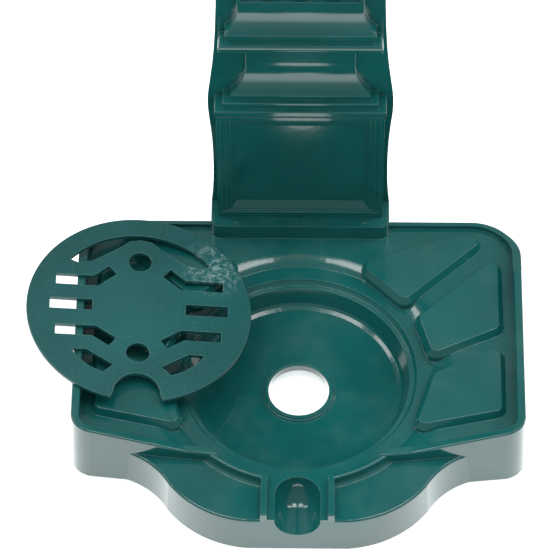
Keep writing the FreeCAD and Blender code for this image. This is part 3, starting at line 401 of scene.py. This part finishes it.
# ---------------------------------------------------------------- mesh tools
def mesh_piece(name, verts, faces, material, body, smooth=True):
    mesh = bpy.data.meshes.new(name)
    mesh.from_pydata(verts, [], faces)
    mesh.validate()
    bm = bmesh.new()
    bm.from_mesh(mesh)
    bmesh.ops.recalc_face_normals(bm, faces=bm.faces)
    bm.to_mesh(mesh)
    bm.free()
    if smooth:
        mesh.shade_smooth()
    mesh.materials.append(material)
    piece = bpy.data.objects.new(name, mesh)
    bpy.context.scene.collection.objects.link(piece)
    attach(piece, body)
    return piece


def swept(path, section):
    """Verts and faces of a closed section carried along a path of (point, side, up) frames."""
    verts, faces, n = [], [], len(section)
    for point, side, up in path:
        verts += [point + side * a + up * b for a, b in section]
    for i in range(len(path) - 1):
        for j in range(n):
            k = (j + 1) % n
            faces.append((i * n + j, i * n + k, (i + 1) * n + k, (i + 1) * n + j))
    faces.append(tuple(range(n)))
    faces.append(tuple(range((len(path) - 1) * n, len(path) * n)))
    return verts, faces


# ---------------------------------------------------------------- operators
class FOUNTAIN_OT_enamel(bpy.types.Operator):
    """Glossy enamel on the base, pillar, rear cover, cap and finial"""
    bl_idname = "fountain.enamel"
    bl_label = "Enamel the castings"

    def execute(self, context):
        coat_nodes("green_gloss", stoved_enamel())
        return {"FINISHED"}


class FOUNTAIN_OT_grate(bpy.types.Operator):
    """Flecked satin coat on the loose drain grate"""
    bl_idname = "fountain.grate"
    bl_label = "Coat the grate"

    def execute(self, context):
        coat_nodes("green_matte", satin_coat())
        return {"FINISHED"}


class FOUNTAIN_OT_brass(bpy.types.Operator):
    """Polished brass on the tap, turned brass on the pipe fittings"""
    bl_idname = "fountain.brass"
    bl_label = "Brass parts"

    def execute(self, context):
        f = finishes()
        coat_nodes("tap_brass", worked_metal(
            "polished_brass", f.brass, (0.50, 0.33, 0.13, 1.0), 0.10, 0.24,
            (1.0, 1.0, 9.0), 260.0, 0.00002, 0.0008))
        coat_nodes("fitting_brass", worked_metal(
            "turned_brass", f.fitting, (0.36, 0.26, 0.13, 1.0), 0.24, 0.42,
            (1.0, 1.0, 22.0), 300.0, 0.00004))
        return {"FINISHED"}


class FOUNTAIN_OT_plumbing(bpy.types.Operator):
    """Copper on the riser pipe and its clips, and rubber on the valve disc"""
    bl_idname = "fountain.plumbing"
    bl_label = "Copper and rubber parts"

    def execute(self, context):
        coat_nodes("copper_pipe", worked_metal(
            "drawn_copper", finishes().copper, (0.36, 0.17, 0.11, 1.0), 0.20, 0.36,
            (12.0, 12.0, 1.0), 200.0, 0.00003))
        coat_nodes("black_rubber", moulded_rubber())
        return {"FINISHED"}


class FOUNTAIN_OT_fasteners(bpy.types.Operator):
    """Stainless steel on every screw, bolt, nut and washer"""
    bl_idname = "fountain.fasteners"
    bl_label = "Steel fasteners"

    def execute(self, context):
        coat_nodes("stainless", worked_metal(
            "stainless_steel", finishes().steel, (0.40, 0.40, 0.41, 1.0), 0.18, 0.34,
            (1.0, 1.0, 10.0), 420.0, 0.00002, 0.0004))
        return {"FINISHED"}


class FOUNTAIN_OT_spout_screen(bpy.types.Operator):
    """Woven wire screen across the mouth of the spout nozzle"""
    bl_idname = "fountain.spout_screen"
    bl_label = "Spout screen"

    def execute(self, context):
        low, high = (Vector(c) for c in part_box("spout_nozzle"))
        recess, reach = 0.0025, 0.00596
        pitch, wire, lift, strands = 0.0011, 0.00016, 0.00018, 5
        middle = Vector(((low.x + high.x) / 2, (low.y + high.y) / 2, low.z + recess))
        section = [(wire * math.cos(t), wire * math.sin(t))
                   for t in (math.pi * i / 3 for i in range(6))]
        verts, faces = [], []
        up = Vector((0.0, 0.0, 1.0))
        for along, across in ((Vector((1, 0, 0)), Vector((0, 1, 0))),
                              (Vector((0, 1, 0)), Vector((1, 0, 0)))):
            for k in range(-strands, strands + 1):
                half = math.sqrt(max(reach ** 2 - (k * pitch) ** 2, 0.0))
                steps = max(4, int(half / pitch * 8))
                weave = 1 if (k + (along.x > 0.5)) % 2 else -1
                path = []
                for i in range(steps + 1):
                    far = -half + 2 * half * i / steps
                    wave = weave * lift * math.cos(math.pi * far / pitch)
                    path.append((middle + across * (k * pitch) + along * far + up * wave,
                                 across, up))
                more, sides = swept(path, section)
                faces += [tuple(v + len(verts) for v in face) for face in sides]
                verts += more
        mesh_piece("spout_screen", verts, faces, bpy.data.materials["stainless_steel"],
                   "fountain")
        return {"FINISHED"}


class FOUNTAIN_OT_inlet_thread(bpy.types.Operator):
    """Pipe thread round the foot of the inlet coupling"""
    bl_idname = "fountain.inlet_thread"
    bl_label = "Inlet thread"

    def execute(self, context):
        low, high = (Vector(c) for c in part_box("inlet_coupling"))
        core, pitch, depth, run, start = 0.0104, 0.001814, 0.0005, 0.0125, 0.0012
        turns, steps = run / pitch, 48
        path = []
        for i in range(int(turns * steps) + 1):
            turn = 2 * math.pi * i / steps
            out = Vector((math.cos(turn), math.sin(turn), 0.0))
            fade = min(1.0, i / (steps / 2), (turns * steps - i) / (steps / 2))
            centre = Vector(((low.x + high.x) / 2, (low.y + high.y) / 2,
                             low.z + start + pitch * i / steps))
            path.append((centre + out * (core - depth * (1.1 - fade)), out,
                         Vector((0.0, 0.0, 1.0))))
        section = [(-0.0002, -0.00065), (depth, -0.0001), (depth, 0.0001), (-0.0002, 0.00065)]
        verts, faces = swept(path, section)
        mesh_piece("inlet_thread", verts, faces, bpy.data.materials["turned_brass"],
                   "fountain", smooth=False)
        return {"FINISHED"}


class FOUNTAIN_OT_stage(bpy.types.Operator):
    """Pale floor, soft studio light and the camera"""
    bl_idname = "fountain.stage"
    bl_label = "Stage"

    def execute(self, context):
        s = context.scene.fountain_stage
        make_floor(s)
        make_lights(s)
        make_camera(s)
        context.scene.view_settings.view_transform = "Standard"
        return {"FINISHED"}


# ---------------------------------------------------------------- stage
FLOOR_DROP = -0.0005                 # just under the foot
MIDDLE = Vector((0.0, -0.1, 0.2))    # where the lights point
AIM = Vector((-0.0242, -0.0618, 0.0))    # where the camera looks
GREY = (0.35, 0.35, 0.35, 1.0)       # the floor as the fountain sees it
GLOW_CENTRE = (0.0, -0.2, 0.0)
GLOW_FADE = (0.45, 0.95)             # distances between which the mirrored floor darkens
FAR_GLOW, SEEN_GLOW = 0.1, 0.55      # the floor mirrored from far off, and looked at directly


def make_floor(s):
    """A wide round floor that the fountain mirrors only close by."""
    rings, radius = 96, 20.0
    verts = [(0.0, 0.0, FLOOR_DROP)] + [
        (radius * math.cos(t), radius * math.sin(t), FLOOR_DROP)
        for t in (2 * math.pi * i / rings for i in range(rings))]
    faces = [(0, 1 + i, 1 + (i + 1) % rings) for i in range(rings)]
    mesh = bpy.data.meshes.new("floor")
    mesh.from_pydata(verts, [], faces)
    floor = bpy.data.objects.new("floor", mesh)
    bpy.context.scene.collection.objects.link(floor)
    material, tree, shader = new_material("pale_floor", Roughness=0.9, Specular_IOR_Level=0.1)
    shader.inputs["Emission Color"].default_value = (1.0, 1.0, 1.0, 1.0)
    ray = add(tree, "LightPath").outputs
    tree.links.new(blend_colour(tree, ray["Is Camera Ray"], GREY, rgba(s.floor)),
                   shader.inputs["Base Color"])
    place = add(tree, "TexCoord").outputs["Object"]
    away = add(tree, "VectorMath", {0: place, 1: GLOW_CENTRE}, operation="DISTANCE")
    mirrored = ramp(tree, away.outputs["Value"], *GLOW_FADE, s.floor_glow, FAR_GLOW)
    spread = add(tree, "MapRange", {"Value": ray["Is Diffuse Ray"], "To Min": mirrored,
                                    "To Max": s.floor_spread}).outputs["Result"]
    tree.links.new(add(tree, "MapRange", {"Value": ray["Is Camera Ray"], "To Min": spread,
                                          "To Max": SEEN_GLOW}).outputs["Result"],
                   shader.inputs["Emission Strength"])
    mesh.materials.append(material)


def area_light(name, place, width, height, power):
    data = bpy.data.lights.new(name, "AREA")
    data.shape = "RECTANGLE"
    data.size, data.size_y = width, height
    data.energy = power
    light = bpy.data.objects.new(name, data)
    light.location = place
    light.rotation_euler = (MIDDLE - place).to_track_quat("-Z", "Y").to_euler()
    bpy.context.scene.collection.objects.link(light)


def make_lights(s):
    """Even air, two soft boxes overhead and a strip on each side."""
    world = bpy.data.worlds.new("even_air")
    bpy.context.scene.world = world
    world.use_nodes = True
    air = world.node_tree.nodes["Background"]
    air.inputs["Color"].default_value = (1.0, 1.0, 1.0, 1.0)
    ray = add(world.node_tree, "LightPath").outputs
    glow = add(world.node_tree, "MapRange", {
        "Value": ray["Is Glossy Ray"], "To Min": s.air, "To Max": s.air_mirrored})
    world.node_tree.links.new(glow.outputs["Result"], air.inputs["Strength"])
    for kind, (x, y, z), width, height, power in (
            ("soft_box", (0.66, 0.05, 2.5), 0.85, 0.85, s.top_power),
            ("strip", (1.5, 0.5, 1.5), 0.35, 1.5, s.side_power)):
        for side, word in ((-1, "left"), (1, "right")):
            area_light(kind + "_" + word, Vector((side * x, y, z)), width, height, power)


def make_camera(s):
    """The camera, turned, raised and rolled about the point it looks at."""
    back = Vector((math.sin(s.azimuth) * math.cos(s.elevation),
                   -math.cos(s.azimuth) * math.cos(s.elevation), math.sin(s.elevation)))
    right = (-back).cross(Vector((0.0, 0.0, 1.0))).normalized()
    up = right.cross(-back)
    tilt_right = math.cos(s.roll) * right + math.sin(s.roll) * up
    tilt_up = -math.sin(s.roll) * right + math.cos(s.roll) * up
    turn = Matrix((tilt_right, tilt_up, back)).transposed().to_4x4()
    data = bpy.data.cameras.new("camera")
    data.sensor_width = 36.0
    data.lens = s.lens
    data.clip_end = 100.0
    data.dof.use_dof = False
    camera = bpy.data.objects.new("camera", data)
    camera.matrix_world = Matrix.Translation(AIM + back * s.distance) @ turn
    bpy.context.scene.collection.objects.link(camera)
    bpy.context.scene.camera = camera


# ---------------------------------------------------------------- panel and registration
STEPS = (FOUNTAIN_OT_enamel, FOUNTAIN_OT_grate, FOUNTAIN_OT_brass, FOUNTAIN_OT_plumbing,
         FOUNTAIN_OT_fasteners, FOUNTAIN_OT_spout_screen, FOUNTAIN_OT_inlet_thread,
         FOUNTAIN_OT_stage)


class FOUNTAIN_PT_tools(bpy.types.Panel):
    """Lists the settings and steps of the fountain's looks"""
    bl_idname = "FOUNTAIN_PT_tools"
    bl_label = "Drinking fountain"
    bl_space_type = "VIEW_3D"
    bl_region_type = "UI"
    bl_category = "Fountain"

    def draw(self, context):
        layout = self.layout
        for group in (context.scene.fountain_finishes, context.scene.fountain_stage):
            box = layout.box()
            for name in group.bl_rna.properties.keys():
                if name not in ("rna_type", "name"):
                    box.prop(group, name)
        for step in STEPS:
            layout.operator(step.bl_idname)


CLASSES = (FountainFinishes, FountainStage, *STEPS, FOUNTAIN_PT_tools)


def register():
    for cls in CLASSES:
        bpy.utils.register_class(cls)
    bpy.types.Scene.fountain_finishes = PointerProperty(type=FountainFinishes)
    bpy.types.Scene.fountain_stage = PointerProperty(type=FountainStage)


def unregister():
    del bpy.types.Scene.fountain_stage
    del bpy.types.Scene.fountain_finishes
    for cls in reversed(CLASSES):
        bpy.utils.unregister_class(cls)


def main():
    register()
    for step in STEPS:
        area, name = step.bl_idname.split(".")
        getattr(getattr(bpy.ops, area), name)()


if __name__ == "__main__":
    main()
